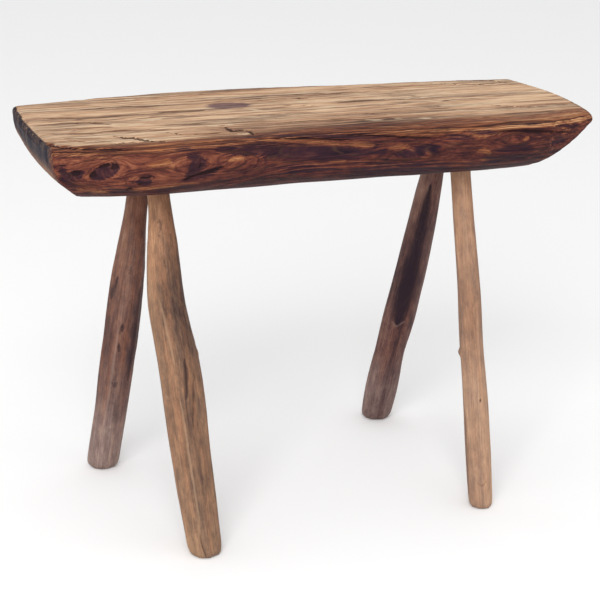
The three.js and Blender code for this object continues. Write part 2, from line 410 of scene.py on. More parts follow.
BROWN_LINES = [
    ([(-294, -32), (-281, -40), (-269, -31), (-255, -30), (-246, -34)], 2.6),
    ([(-296, -2), (-281, 1), (-262, 0), (-243, 3), (-223, 4), (-200, 7)], 2.8),
    ([(-228, -1), (-206, -5), (-193, -6), (-180, -8), (-160, -5), (-140, -6), (-110, -4)], 2.6),
    ([(-280, 16), (-274, 11), (-262, 9), (-250, 12), (-243, 18)], 2.2),
    ([(-150, 16), (-138, 11), (-119, 12), (-102, 19), (-92, 27)], 2.2),
    ([(-136, 30), (-124, 33), (-112, 29), (-113, 22)], 2),
    ([(12, -3), (29, 0), (45, 4), (62, 3), (78, 3), (94, 6), (126, 7)], 2.6),
    ([(18, -9), (42, -9), (57, -3), (76, -2), (110, 0), (150, -1), (192, 2)], 2.4),
    ([(-24, -14), (20, -13), (60, -15), (104, -12), (140, -10)], 2),
    ([(50, -20), (100, -20), (150, -22), (196, -18)], 1.8),
    ([(160, -8), (189, -6), (214, -6), (232, -3), (270, 1)], 2.6), ([(181, 17), (192, 13), (206, 14)], 2),
    ([(178, 20), (194, 25), (208, 24)], 2), ([(53, 36), (87, 38), (110, 36)], 2),
    ([(-300, 36), (-280, 40), (-256, 39)], 2.2), ([(-210, 26), (-196, 23), (-184, 26)], 2),
]
DARK_PATCHES = [
    ([(-110, -13), (-80, -9), (-55, -6), (-30, -1), (-5, 4), (20, 7), (50, 9)], 9.5),
    ([(-146, 8), (-100, 12), (-62, 18), (-40, 22), (-10, 24), (15, 26), (48, 26)], 18),
    ([(-188, 3), (-178, 2), (-166, 5)], 7), ([(58, 31), (76, 29), (92, 25), (110, 23)], 10),
    ([(134, 6), (153, 9), (172, 9)], 6), ([(110, 12), (128, 13), (146, 15)], 4.5),
    ([(186, -3), (206, -1), (222, -1), (236, -1)], 5), ([(242, 9), (256, 9), (274, 13)], 4),
    ([(172, 32), (189, 30), (205, 30), (218, 31)], 8), ([(236, 28), (252, 28), (266, 26)], 5),
    ([(-101, 1), (-90, 3), (-78, 5)], 4.5), ([(10, 48), (60, 51), (130, 52)], 9),
    ([(-60, 42), (-30, 43), (0, 45)], 6),
    ([(-178, 12), (-167, 14), (-161, 21), (-165, 29), (-176, 35)], 12),
    ([(-178, 40), (-158, 35), (-138, 29)], 7), ([(-300, 14), (-297, 26), (-290, 38), (-283, 46)], 9),
    ([(-255, 46), (-240, 48), (-225, 52)], 7), ([(-215, 50), (-190, 50), (-160, 47)], 6),
    ([(40, 42), (80, 44), (120, 43)], 6), ([(160, 42), (190, 43), (215, 42)], 6),
    ([(-90, 34), (-60, 36), (-30, 35)], 5),
]
BRIGHT_PATCHES = [
    ([(-228, -9), (-200, -10), (-178, -11), (-150, -10), (-122, -9)], 6),
    ([(-218, 0), (-204, 1), (-190, -1)], 4), ([(-120, -6), (-100, -3), (-78, 1), (-60, 4)], 4.5),
    ([(-66, 4), (-45, 8), (-29, 11), (-12, 14), (2, 16)], 4.5), ([(4, 15), (17, 17), (31, 18)], 6),
    ([(50, 22), (60, 21), (72, 22)], 4.5), ([(118, 1), (141, 2), (158, 3)], 4.5),
    ([(236, 6), (251, 11), (272, 15)], 3),
    ([(116, 8), (128, 8), (140, 11), (151, 14), (163, 14), (178, 12)], 2.4),
    ([(58, 8), (85, 9), (112, 9)], 2.6), ([(152, 32), (160, 31), (167, 34)], 5),
    ([(205, 21), (209, 17)], 2), ([(-16, 33), (2, 34)], 2.6), ([(-106, 14), (-92, 14)], 2.2),
    ([(-68, 21), (-58, 22)], 2.4), ([(-215, 20), (-196, 18), (-186, 22)], 7),
    ([(-240, 48), (-200, 46), (-160, 44)], 5), ([(-290, 44), (-270, 46), (-250, 50)], 4),
    ([(-130, 21), (-118, 19), (-110, 22)], 5),
]
# Marks on the sitting face are (x, y).
TOP_CRACKS = [
    ([(-114, -50), (-114, -64), (-112, -76), (-103, -74), (-97, -79), (-97, -95)], 5.6),
    ([(-179, -60), (-169, -73), (-160, -78), (-144, -78), (-126, -78)], 3.4),
    ([(-236, -62), (-226, -74), (-219, -75), (-210, -88), (-202, -95), (-191, -98)], 6.6),
    ([(-265, 4), (-256, 3), (-246, 1)], 4.1), ([(-4, 57), (6, 56), (20, 53)], 2.8),
    ([(-20, 28), (-4, 22), (14, 16)], 3.2), ([(216, -37), (235, -47), (254, -52)], 2.3),
]
TOP_LINES = [
    ([(-296, 37), (-274, 28), (-249, 21), (-228, 21), (-200, 23), (-150, 24)], 7),
    ([(-300, 0), (-269, 4), (-248, 2), (-235, -7), (-222, -15)], 7),
    ([(-298, -36), (-280, -42), (-261, -45), (-245, -44), (-226, -38)], 6.1),
    ([(-252, -44), (-223, -43), (-193, -46), (-170, -48)], 5.3),
    ([(-162, 28), (-134, 23), (-108, 24)], 7.9), ([(34, 20), (66, 24), (84, 24), (120, 20), (150, 26)], 6),
    ([(125, -33), (143, -34), (160, -32)], 3.6), ([(156, -2), (174, 4), (192, 8)], 3.6),
    ([(205, -29), (216, -37), (235, -48), (256, -52)], 4.8), ([(268, -40), (282, -45), (298, -53)], 4.3),
    ([(42, -28), (57, -36), (76, -47)], 3.6), ([(-60, -54), (-20, -50), (30, -56)], 3.6),
    ([(20, 62), (70, 70), (120, 66)], 4.8), ([(-240, 60), (-200, 64), (-150, 60)], 4.1),
    ([(-284, 12), (-250, 12), (-222, 8), (-180, 12)], 3.2),
    ([(-200, 4), (-170, 8), (-130, 4), (-100, 8)], 3.6), ([(-276, -22), (-240, -24), (-214, -28)], 3.6),
    ([(-180, -30), (-150, -34), (-120, -30)], 3.6), ([(-288, -60), (-262, -66), (-240, -70)], 3.6),
]
CREAM_FLECKS = [
    ([(-178, 98), (-168, 97)], 6), ([(-132, -46), (-119, -50)], 4), ([(-112, -48), (-104, -46)], 3.4),
    ([(-62, 15), (-52, 6)], 4.4), ([(-63, -17), (-53, -19)], 4), ([(0, 38), (14, 37)], 6),
    ([(15, 8), (38, 6)], 6), ([(40, -64), (60, -69)], 3.4), ([(72, -66), (82, -67)], 3.4),
    ([(99, -71), (114, -74)], 3.4), ([(-190, -4), (-166, -3)], 6), ([(-208, -19), (-192, -18)], 4),
    ([(-98, -87), (-106, -91), (-114, -85)], 2.6), ([(150, -20), (190, -24), (230, -20)], 5),
]
STAIN = ((-78, 40), (26, 15), 0)


def lines_edge(x, s, lines, here):
    """How far each vertex lies outside the nearest line, and far away wherever here is false."""
    edge = np.full(len(x), MARK_REACH)
    for points, width in lines:
        for away, half in line_runs(x, s, points, width):
            edge = np.minimum(edge, away - half)
    return np.where(here, edge, MARK_REACH)


def ovals_edge(x, s, ovals, here):
    """About the same for ovals."""
    edge = np.full(len(x), np.inf)
    for centre, radii, tilt in ovals:
        reach, across = oval_reach(x, s, centre, radii, tilt)
        edge = np.minimum(edge, (reach - 1) * radii[1])
    return np.where(here, edge, MARK_REACH)


def inside(edge, soft):
    """1 where a distance is well inside a mark, 0 well outside."""
    return 1 - smoothstep(-soft, soft, edge)


# ---------------- the seat
def seat_edges(places):
    """The y of the seat's near and far edges at each vertex's x."""
    x, y = places[:, 0], places[:, 1]
    starts, strips = slices(x, EDGE_BIN)
    near, far = [y[strip].min() for strip in strips], [y[strip].max() for strip in strips]
    middle = starts + EDGE_BIN / 2
    return np.interp(x, middle, near), np.interp(x, middle, far)


def by_x(table, x):
    """Reads a table of x and value."""
    return np.interp(x, *np.array(table, float).T)


class SeatSurface:
    """The seat's vertices: where each one lies, and what kind of surface it is on."""

    def __init__(self, places, normals):
        self.places, self.normals = places, normals
        self.broad, self.fine, self.ragged = Noise(SEED), Noise(SEED + 1), Noise(SEED + 2)
        self.x, self.y = places[:, 0] - MARKS_MIDDLE, places[:, 1]
        self.depth = SEAT_TOP - places[:, 2]
        self.front = self.y < 0
        self.at_nose = self.x > 0
        near, far = seat_edges(places)
        self.inset = np.where(self.front, self.y - near, far - self.y)
        # s as the marks use it, and an x that gives the far side the near side's marks, mirrored
        self.s = self.depth - self.inset * (1 - smoothstep(*SHOULDER_DEPTHS, self.depth))
        self.mx = np.where(self.front, self.x, REAR_TURN - self.x)
        self.find_ends()
        self.find_top()
        self.find_loose()

    def find_ends(self):
        """The two cut-back ends, and the slanting cut on the lower part of each."""
        self.facing_end = np.abs(self.normals[:, 0])
        bare_end = np.where(self.at_nose, 0.22, 0)
        self.end = smoothstep(0.4 + bare_end, 0.62 + bare_end, self.facing_end) * (self.depth > 1.5)
        # the front left corner is worn through to the wood of the side
        worn_corner = self.front & ~self.at_nose
        self.end = self.end * np.where(worn_corner, smoothstep(5, 19, self.inset), 1)
        self.cut_back = self.end * smoothstep(0.12, 0.5, -self.normals[:, 2])

    def find_top(self):
        """The weathered top, the sides and the underside."""
        limit = np.where(self.front, by_x(SHOULDER_TOP, self.mx), REAR_SHOULDER_TOP)
        limit = limit + 3 * self.broad(self.places + 15, (60, 20, 20))
        edge = np.clip(self.s - limit, -TOP_REACH, TOP_REACH)
        self.edge = np.where(self.depth > TOP_DEPTH, TOP_REACH, edge)
        self.top = inside(self.edge, 2) * smoothstep(0.55, 0.85, self.normals[:, 2])
        self.side = (1 - self.top) * (1 - self.end)
        self.under = smoothstep(0.2, 0.75, -self.normals[:, 2]) * (1 - self.end)

    def find_loose(self):
        """1 where the surface may move, 0 round the sockets."""
        away = np.full(len(self.x), np.inf)
        for node in LEG_LOOKS:
            head = leg_end(node, foot=False)
            away = np.minimum(away, np.hypot(self.places[:, 0] - head[0], self.y - head[1]))
        loose = smoothstep(SOCKET_CLEARANCE, SOCKET_CLEARANCE + SOCKET_FADE, away)
        self.loose = np.where(self.depth < SOCKET_DEPTH, 1, loose)


def seat_rings(seat):
    """The growth rings, how far the grain moves as it flows round the knots, and how near a knot is."""
    places, broad, fine = seat.places, seat.broad, seat.fine
    ring = np.hypot(seat.y - SEAT_PITH[0], seat.depth - SEAT_PITH[1])
    ring = ring + 8 * broad(places, (230, 80, 80)) + 2.2 * fine(places, (75, 26, 26))
    ring = ring + 0.9 * fine(places + 31, (30, 9, 9)) + 0.3 * seat.ragged(places + 35, (12, 4, 4))
    flow = np.zeros(len(seat.x))
    eyes = np.zeros(len(seat.x))
    for centre, radii, tilt, rise in GRAIN_EYES:
        reach, across = oval_reach(seat.mx, seat.s, centre, radii, tilt)
        pull = np.minimum(1, 1 / np.maximum(reach, 0.1) ** 2) * (1 - smoothstep(1.5, EYE_REACH, reach))
        flow = flow - across * pull * seat.side
        ring = ring + rise * np.exp(-reach ** 2) * seat.side
        eyes = np.maximum(eyes, (1 - smoothstep(0.9, 2.2, reach)) * seat.side)
    return ring, flow, eyes


def seat_marks(seat):
    """How far each vertex lies outside each kind of mark."""
    places, ragged = seat.places, seat.ragged
    side = (seat.mx + 1.6 * ragged(places, (26, 9, 9)), seat.s + 0.8 * ragged(places + 77, (24, 8, 8)))
    top = (seat.x + 1.5 * ragged(places, (18, 7, 7)), seat.y + 1.2 * ragged(places + 50, (18, 7, 7)))
    on_top = seat.depth < MARKED_DEPTH
    off_end = seat.end < 0.5
    crack = np.minimum(lines_edge(*side, CRACKS, off_end), lines_edge(*top, TOP_CRACKS, on_top))
    brown = np.minimum(lines_edge(*side, BROWN_LINES, off_end), lines_edge(*top, TOP_LINES, on_top))
    ovals = np.where(off_end, OVAL_STRENGTH * ovals_edge(*side, DARK_OVALS, off_end), MARK_REACH)
    return {
        "crack": np.minimum(crack, ovals_edge(*side, KNOTS, off_end)),
        "brown": brown,
        "patch": np.minimum(lines_edge(*side, DARK_PATCHES, off_end), ovals),
        "glow": lines_edge(*side, BRIGHT_PATCHES, off_end),
        "cream": lines_edge(*top, CREAM_FLECKS, on_top),
        "stain": ovals_edge(*top, [STAIN], on_top),
    }


def seat_tones(seat):
    """How light the bare wood is before its fine grain, with painted shade towards the bottom of the side,
    how dirty the top and how worn the shoulder is.
    """
    places, broad = seat.places, seat.broad
    inward = smoothstep(-190, -90, seat.mx)
    left, middle = 1 - inward, inward * (1 - smoothstep(90, 190, seat.mx))
    tone = 0.36 + 0.13 * left - 0.02 * (1 - left - middle)
    tone = tone + 0.1 * broad(places + 10, (120, 18, 18)) + 0.07 * seat.fine(places + 20, (40, 8, 8))
    # painted shade: the sides grow darker towards their bottom, where the surface turns downward
    tone = tone - 0.14 * smoothstep(28, 54, seat.depth)
    dirt = smoothstep(-80, -20, seat.s) * seat.front * (0.5 + 0.5 * middle)
    dirt = dirt - 0.26 * left + 0.4 * broad(places + 230, (160, 50, 50))
    rust = 1 - smoothstep(2, 12, seat.s + 3 * broad(places + 90, (60, 20, 20)))
    rust = rust * (1 - seat.end) * (1 - seat.under)
    return {"tone": tone, "dirt": dirt, "rust": rust, "shoulder": by_x(SHOULDER_SHADE, seat.mx)}


def seat_relief(seat, ring, marks):
    """How far the surface rises: raised grain, hewn facets, sunken marks, and split and chipped ends."""
    places, broad, fine = seat.places, seat.broad, seat.fine
    grain = np.sin(2 * math.pi * ring / (1.5 * SEAT_RING))
    lift = 0.17 * grain * (0.6 + 0.4 * seat.top) - 0.2
    lift = lift + 0.22 * fine(places + 400, (34, 3, 3)) * (0.4 + 0.6 * seat.top)
    hewing = broad(places + 300, (70, 34, 34)) * 0.9 + fine(places + 310, (30, 14, 14)) * 0.35
    swelling = broad(places + 500, (140, 60, 60))
    lift = lift + (hewing - 0.9) * seat.side * 0.8 + 0.35 * seat.top * (swelling - 1)
    lift = lift - CRACK_DEPTH * inside(marks["crack"], 0.9) - LINE_DEPTH * inside(marks["brown"], 0.9)
    lift = lift - PATCH_DEPTH * inside(marks["patch"], 2) * seat.side
    lift = lift - STAIN_DEPTH * inside(marks["stain"], 1.5)
    splits = smoothstep(0.1, 0.6, seat.ragged(places + 700, (9, 9, 50)))
    lift = lift - SPLIT_DEPTH * seat.end * splits
    rim = smoothstep(0.1, 0.5, seat.facing_end) * (1 - smoothstep(0.6, 0.95, seat.facing_end))
    chips = smoothstep(0, 0.6, fine(places + 600, (14, 8, 8)))
    fewer = (seat.depth < CHIPPED_DEPTH) * np.where(seat.at_nose, NOSE_CHIPS, 1)
    return lift - CHIP_DEPTH * chips * rim * fewer


def build_seat():
    squeeze = Matrix.Diagonal((SQUEEZE, 1, 1, 1))
    piece = fine_copy("seat", "seat_log", squeeze, SEAT_CELL, SEAT_SOFTENING)
    seat = SeatSurface(*read_points(piece.data))
    ring, flow, eyes = seat_rings(seat)
    marks = seat_marks(seat)
    moved = seat.places + seat.normals * (seat_relief(seat, ring, marks) * seat.loose)[:, None]
    write_points(piece.data, "seat", moved)

    # places in the grain, whose fibres run on round the nose
    wave = 3 * seat.broad(seat.places + 140, (190, 70, 70))
    wave = wave + 0.9 * seat.fine(seat.places + 150, (55, 20, 20))
    turned = smoothstep(0.15, 0.5, seat.facing_end)
    wrap = turned * seat.at_nose
    wrapped = seat.y + (NOSE_WRAP * np.clip(seat.y / NOSE_HALF, -1, 1) - seat.y) * wrap
    values = {
        "wood": np.column_stack([seat.x, wrapped + wave, seat.depth + wave + flow]),
        "ring": ring,
        "level": seat.s + wave + flow,
        "across": seat.y + 1.5 * wave + 4 * seat.broad(moved + 800, (300, 60, 60)),
        "eyes": eyes,
        "edge": seat.edge,
        "end": seat.end,
        "cut_back": seat.cut_back,
        "chips": (1 - smoothstep(5, 17, seat.depth)) * turned,
    }
    finish_piece(piece, "seat", seat_material(), values | seat_tones(seat) | marks)


# Noise in the seat's wood: its size along, across and through the grain, its detail and its roughness.
SEAT_GRAIN = {
    "hair": ((30, 0.7, 0.7), 3, 0.6),
    "fibre": ((46, 2, 2), 3, 0.6),
    "streak": ((90, 5.5, 5.5), 3, 0.6),
    "sweep": ((170, 13, 13), 2, 0.5),
    "speck": ((4, 1.6, 1.6), 3, 0.65),
    "mottle": ((13, 5, 5), 4, 0.65),
    "saw": ((10, 12, 60), 5, 0.7),
}
# How far each kind of grain moves a surface along its colours, or in millimetres for what is torn.
SEAT_MIX = {
    "side": {"side_line": -0.19, "streak": 0.28, "fibre": 0.34, "hair": 0.26, "stripe": 0.14, "mottle": 0.3},
    "shoulder": {"line": -0.4, "streak": 0.4, "fibre": 0.45, "hair": 0.2, "stripe": 0.9},
    "top": {"line": -0.34, "hair": 0.36, "fibre": 0.5, "streak": 0.55, "sweep": 0.42, "dirt": -0.36,
            "thread": 0.5, "mottle": 0.12},
    "end": {"line": -0.06, "saw": 0.9, "speck": 0.3, "streak": 0.3},
    "cut": {"saw": 0.6, "line": -0.25},
    "glow": {"fibre": 1, "hair": 0.5, "stripe": 1},
    "patch": {"fibre": 1, "streak": 0.5},
    "chip": {"speck": 0.9, "saw": 0.5},
    "worn": {"streak": 0.7, "fibre": 0.5},
    "fringe": {"streak": 9, "fibre": 9},
    "torn": {"fibre": 6.5, "speck": 2.5, "stripe": 3},
    "frayed": {"fibre": 2.2, "speck": 0.5},
    "flecked": {"fibre": 3},
    "height": {"line": 0.4, "hair": 0.3, "fibre": 0.5, "split": -0.8, "crack": -1, "brown": -0.5},
}
SEAT_COLOURS = {
    "side": [(0, (38, 21, 29)), (0.2, (62, 32, 36)), (0.38, (94, 49, 43)), (0.56, (128, 72, 55)),
             (0.76, (162, 101, 74)), (1, (198, 138, 102))],
    "shoulder": [(0, (56, 31, 32)), (0.3, (102, 59, 46)), (0.55, (150, 93, 64)), (0.8, (188, 132, 92)),
                 (1, (220, 170, 124))],
    "top_cool": even((84, 64, 55), (134, 107, 90), (176, 144, 119), (211, 178, 147), (240, 213, 181)),
    "top_warm": even((88, 60, 48), (140, 104, 84), (184, 142, 112), (214, 172, 138), (238, 204, 168)),
    "end": [(0, (42, 37, 48)), (0.3, (68, 58, 64)), (0.55, (104, 84, 76)), (0.8, (152, 122, 98)),
            (1, (196, 164, 134))],
    "cut": even((84, 56, 46), (150, 110, 88), (198, 158, 130)),
    "glow": even((136, 78, 54), (176, 110, 70), (216, 158, 106)),
    "patch": even((33, 20, 33), (52, 31, 43), (92, 54, 52)),
}
CHIP_COLOUR = (164, 134, 104)
CREAM_COLOUR = (232, 208, 176)
STAIN_COLOUR = (98, 70, 84)
BROWN_COLOUR = (78, 48, 38)
SPLIT_COLOUR = (84, 58, 46)
CRACK_COLOUR = (42, 25, 27)
# How light the top, the ends, the slanting cuts and the two kinds of patch are before their grain.
TOP_SHADE, END_SHADE, CUT_SHADE, GLOW_SHADE, PATCH_SHADE = 0.72, 0.16, 0.55, 0.46, 0.4
SEAT_LATE_WOOD = [(0, 0), (0.5, 0.06), (0.78, 1), (0.92, 0.55), (1, 0)]


def seat_material():
    p = Paint("seat_wood")
    wood = p.attribute("wood", vector=True)
    ring, tone, edge, end, cut_back, chips, rust, shoulder, eyes, level, across = map(
        p.attribute, "ring tone edge end cut_back chips rust shoulder eyes level across".split())
    crack, brown, patch, glow, cream, stain = map(p.attribute, "crack brown patch glow cream stain".split())
    grain = {name: p.grain(wood, *row) for name, row in SEAT_GRAIN.items()}
    grain["dirt"] = p.attribute("dirt")
    fibre, streak, sweep = grain["fibre"], grain["streak"], grain["sweep"]

    def shaded(kind, shade, colours=None):
        return p.ramp(p.mixed(shade, grain, SEAT_MIX[kind]), SEAT_COLOURS[colours or kind])

    # dark lines of the growth rings, clearer near the knots and the shoulder
    late = p.late_wood(ring, SEAT_RING, (7, 5), SEAT_LATE_WOOD, p.times(grain["speck"], 0.5))
    bold = p.step(p.noise_line(ring, 3.1), 0.38, 0.62, 0.25, 1)
    grain["line"] = p.times(p.times(late, bold), p.step(streak, -0.4, 0.3, 0.3, 1))
    grain["side_line"] = p.times(grain["line"], p.step(p.add(eyes, rust), 0, 1, 0.35, 1))
    grain["stripe"] = p.centred(p.noise_line(p.add(level, p.times(fibre, 1.6)), 3, detail=2))
    grain["thread"] = p.centred(p.noise_line(p.add(across, p.times(fibre, 2.4)), 5, detail=3))

    # the sides: dark purple brown to orange brown, with painted shade towards the bottom, and brighter on the
    # worn shoulder
    worn = p.step(p.mixed(rust, grain, SEAT_MIX["worn"]), 0.2, 0.85)
    colour = p.blend(p.times(worn, 0.9), shaded("side", tone), shaded("shoulder", shoulder))
    # the marks on the sides, each with a torn edge
    torn = p.mixed(0, grain, SEAT_MIX["torn"])
    frayed = p.mixed(0, grain, SEAT_MIX["frayed"])
    colour = p.lay(colour, p.cover(p.add(glow, torn), -1.4, 1.6), 0.7, shaded("glow", GLOW_SHADE))
    dark_patch = p.cover(p.add(patch, torn), -2, 2)
    colour = p.lay(colour, dark_patch, 0.84, shaded("patch", PATCH_SHADE))
    # the weathered top, in warm and cool bands, whose fibres reach over the shoulder
    band = p.step(p.noise(wood, (190, 14, 14), detail=2), 0.37, 0.56)
    top = p.blend(band, shaded("top", TOP_SHADE, "top_cool"), shaded("top", TOP_SHADE, "top_warm"))
    fringe = p.mixed(edge, grain, SEAT_MIX["fringe"])
    colour = p.blend(p.cover(fringe, -4.5, 3), colour, top)
    pale = p.cover(p.mixed(cream, grain, SEAT_MIX["flecked"]), -1, 2)
    colour = p.lay(colour, pale, 0.75, linear(CREAM_COLOUR))
    colour = p.lay(colour, p.cover(p.add(stain, torn), -1.5, 1.5), 0.78, linear(STAIN_COLOUR))
    grain["brown"] = p.cover(p.add(brown, frayed), -0.9, 1)
    colour = p.lay(colour, grain["brown"], 0.66, linear(BROWN_COLOUR))
    # thin drying cracks all over the wood
    split = p.math("ABSOLUTE", p.add(p.noise(wood, (75, 4.2, 4.2), detail=1), -0.5))
    grain["split"] = p.times(p.cover(split, 0.006, 0.034), p.step(sweep, -0.25, 0.15, 1, 0.15))
    colour = p.lay(colour, grain["split"], 0.55, linear(SPLIT_COLOUR))
    # end grain above, a paler slanting cut below
    bright_chip = p.step(p.mixed(p.times(chips, 0.5), grain, SEAT_MIX["chip"]), 0.5, 0.85)
    end_colour = p.lay(shaded("end", END_SHADE), bright_chip, 0.5, linear(CHIP_COLOUR))
    colour = p.blend(end, colour, p.blend(cut_back, end_colour, shaded("cut", CUT_SHADE)))
    grain["crack"] = p.cover(p.add(crack, frayed), -0.6, 0.8)
    colour = p.lay(colour, grain["crack"], 0.86, linear(CRACK_COLOUR))

    rough = p.add(p.step(edge, -4, 4, 0.86, 0.62), p.times(fibre, 0.15))
    return p.finish(colour, rough, p.mixed(0, grain, SEAT_MIX["height"]), 0.6)


# ---------------- the legs
# Marks on a leg are (q, z): q goes from -1 at its left edge to 1 at its right edge, seen from the front, and
# z is the height above the floor. A look's shades are rows of height, then how light the leg is at the left,
# in the middle and at the right: the wood's own tone together with painted light and shade across the round
# leg. Its warmth goes from grey at 0 to red brown at 1, along the same heights.
# Each stroke is a dark line, with its greatest width and its strength, and each pale line has a width.
# The long pale lines of the front left and back left legs are painted highlights along the facet ridges.
SHADE_PLACES = (-0.65, 0.1, 0.6)
DARK_EDGE = (0.1, 1.5)
PALE_EDGE = (0.45, 1.2)
FRONT_LEFT = {
    "slot": "leg_wood_tan",
    "palette": even((66, 48, 46), (104, 81, 70), (142, 112, 91), (178, 142, 112), (214, 178, 144)),
    "warm": even((70, 45, 38), (116, 80, 61), (154, 111, 85), (188, 140, 107), (220, 175, 136)),
    # lightness across the leg: its own tone with painted light and shade
    "shades": [(0, 0.74, 0.66, 0.54), (60, 0.55, 0.44, 0.48), (150, 0.58, 0.43, 0.46),
               (210, 0.58, 0.46, 0.38), (270, 0.6, 0.26, 0.24), (320, 0.72, 0.54, 0.38),
               (360, 0.7, 0.56, 0.4)],
    "warmth": (0.3, 0.34, 0.4, 0.45, 0.38, 0.58, 0.75),
    "strokes": [
        ([(0.42, 212), (0.36, 192), (0.2, 168)], 5, 0.8), ([(0.2, 168), (0.18, 150), (0.2, 130)], 3, 0.5),
        ([(0.66, 190), (0.52, 168), (0.4, 140)], 3, 0.6), ([(0.62, 128), (0.5, 100), (0.5, 70)], 4, 0.4),
        ([(0.36, 246), (0.34, 226)], 3.5, 0.4), ([(0.74, 250), (0.7, 220)], 3.5, 0.45),
        ([(0, 26), (0.03, 14), (0.16, 2)], 2.6, 0.7), ([(0.36, 300), (0.4, 280), (0.42, 250)], 9, 0.35),
        ([(-0.16, 347), (0, 350), (0.14, 346), (0.1, 341), (-0.06, 339)], 2.6, 0.6),
        ([(-0.12, 337), (-0.02, 334)], 2.8, 0.7),
    ],
    "knots": [((-0.66, 170), 2.6)],
    # painted highlights along the ridge between the warm left facet and the grey right facet
    "pale": [
        ([(-0.18, 270), (-0.12, 236), (-0.08, 205)], 2.4), ([(-0.05, 170), (0.05, 100), (0.1, 40)], 2.2),
    ],
}
FRONT_RIGHT = {
    "slot": "leg_wood_pale",
    "palette": even((92, 70, 62), (134, 106, 92), (164, 132, 112), (192, 157, 132), (218, 186, 158)),
    "warm": even((100, 68, 54), (142, 104, 82), (172, 129, 102), (196, 153, 122), (224, 182, 146)),
    # lightness across the leg: its own tone with painted light and shade
    "shades": [(0, 0.56, 0.64, 0.74), (60, 0.6, 0.63, 0.68), (105, 0.66, 0.66, 0.68),
               (140, 0.7, 0.68, 0.64), (200, 0.46, 0.38, 0.46), (240, 0.54, 0.44, 0.54),
               (285, 0.62, 0.63, 0.66), (330, 0.62, 0.65, 0.58), (360, 0.56, 0.6, 0.52)],
    "warmth": (0.5, 0.5, 0.4, 0.4, 0.45, 0.55, 0.6, 0.6, 0.7),
    "strokes": [
        ([(-0.04, 310), (-0.17, 270)], 5, 0.3), ([(-0.06, 250), (-0.17, 205)], 6, 0.3),
        ([(0.3, 300), (0.2, 294), (0.3, 286)], 2.4, 0.4), ([(-0.2, 262), (0.1, 258)], 2, 0.35),
        ([(0.5, 236), (0.2, 226), (0, 224)], 2, 0.35), ([(-0.95, 110), (-0.95, 60), (-1, 12)], 6, 0.5),
        ([(0.37, 125), (0.38, 121)], 2.6, 0.9), ([(0.5, 34), (0.1, 28), (-0.3, 30)], 2.4, 0.5),
        ([(0.1, 110), (0.05, 70), (0.12, 40)], 2.4, 0.3),
    ],
    "pale": [([(-0.28, 50), (-0.3, 46)], 2)],
    "nubs": [(-0.95, 172)],
}
BACK_LEFT = {
    "slot": "leg_wood_brown",
    "palette": even((50, 38, 44), (82, 62, 62), (116, 92, 86), (146, 122, 114), (178, 156, 146)),
    "warm": even((52, 32, 34), (92, 58, 48), (128, 84, 68), (154, 112, 92), (184, 148, 126)),
    # lightness across the leg: its own tone with painted light and shade
    "shades": [(0, 0.84, 0.86, 0.78), (60, 0.78, 0.78, 0.7), (105, 0.57, 0.63, 0.5),
               (150, 0.47, 0.6, 0.38), (210, 0.46, 0.6, 0.4), (255, 0.58, 0.64, 0.44),
               (290, 0.72, 0.68, 0.52), (320, 0.72, 0.62, 0.42), (360, 0.56, 0.48, 0.3)],
    "warmth": (0.05, 0.14, 0.36, 0.5, 0.58, 0.68, 0.75, 0.88, 1),
    "strokes": [
        ([(-0.58, 254), (-0.76, 238), (-0.84, 222)], 6.5, 0.75),
        ([(-0.8, 206), (-0.8, 180), (-0.82, 150)], 9, 0.5),
        ([(-0.5, 200), (-0.52, 180), (-0.5, 165)], 4, 0.45), ([(0.12, 198), (0.1, 186)], 5, 0.8),
        ([(0, 190), (0, 182)], 3.6, 0.6), ([(0.08, 172), (0.1, 160)], 5.5, 0.8),
        ([(1, 250), (0.9, 215), (0.86, 165), (0.82, 120)], 9, 0.7), ([(0.1, 270), (0.24, 265)], 3.6, 0.6),
        ([(0.5, 110), (0.46, 80), (0.5, 50)], 9, 0.3), ([(0.06, 122), (0.14, 114)], 5, 0.6),
        ([(-0.1, 142), (0.1, 136), (0.2, 128)], 3, 0.4), ([(-0.18, 122), (0.02, 116), (0.24, 122)], 4, 0.6),
        ([(-0.1, 110), (0.1, 104), (0.12, 98)], 4, 0.4),
        ([(-0.1, 96), (0.24, 92), (0.45, 82), (0.45, 66)], 7, 0.4), ([(0.2, 60), (0.19, 52)], 4, 0.4),
        ([(0.3, 42), (0.3, 32)], 3.5, 0.35),
        ([(0.1, 312), (-0.1, 280), (-0.24, 240), (-0.3, 200)], 3.4, 0.45),
        ([(-0.3, 330), (-0.2, 300), (0.1, 285)], 3, 0.3),
        ([(-0.5, 200), (-0.45, 150), (-0.5, 100)], 2.6, 0.3),
        ([(0.06, 262), (0.2, 260), (0.24, 266)], 3, 0.5),
    ],
    "knots": [((0.12, 268), 2.6)],
    # a painted highlight along a facet ridge
    "pale": [([(-0.12, 190), (-0.16, 120), (-0.26, 50)], 2.4)],
}
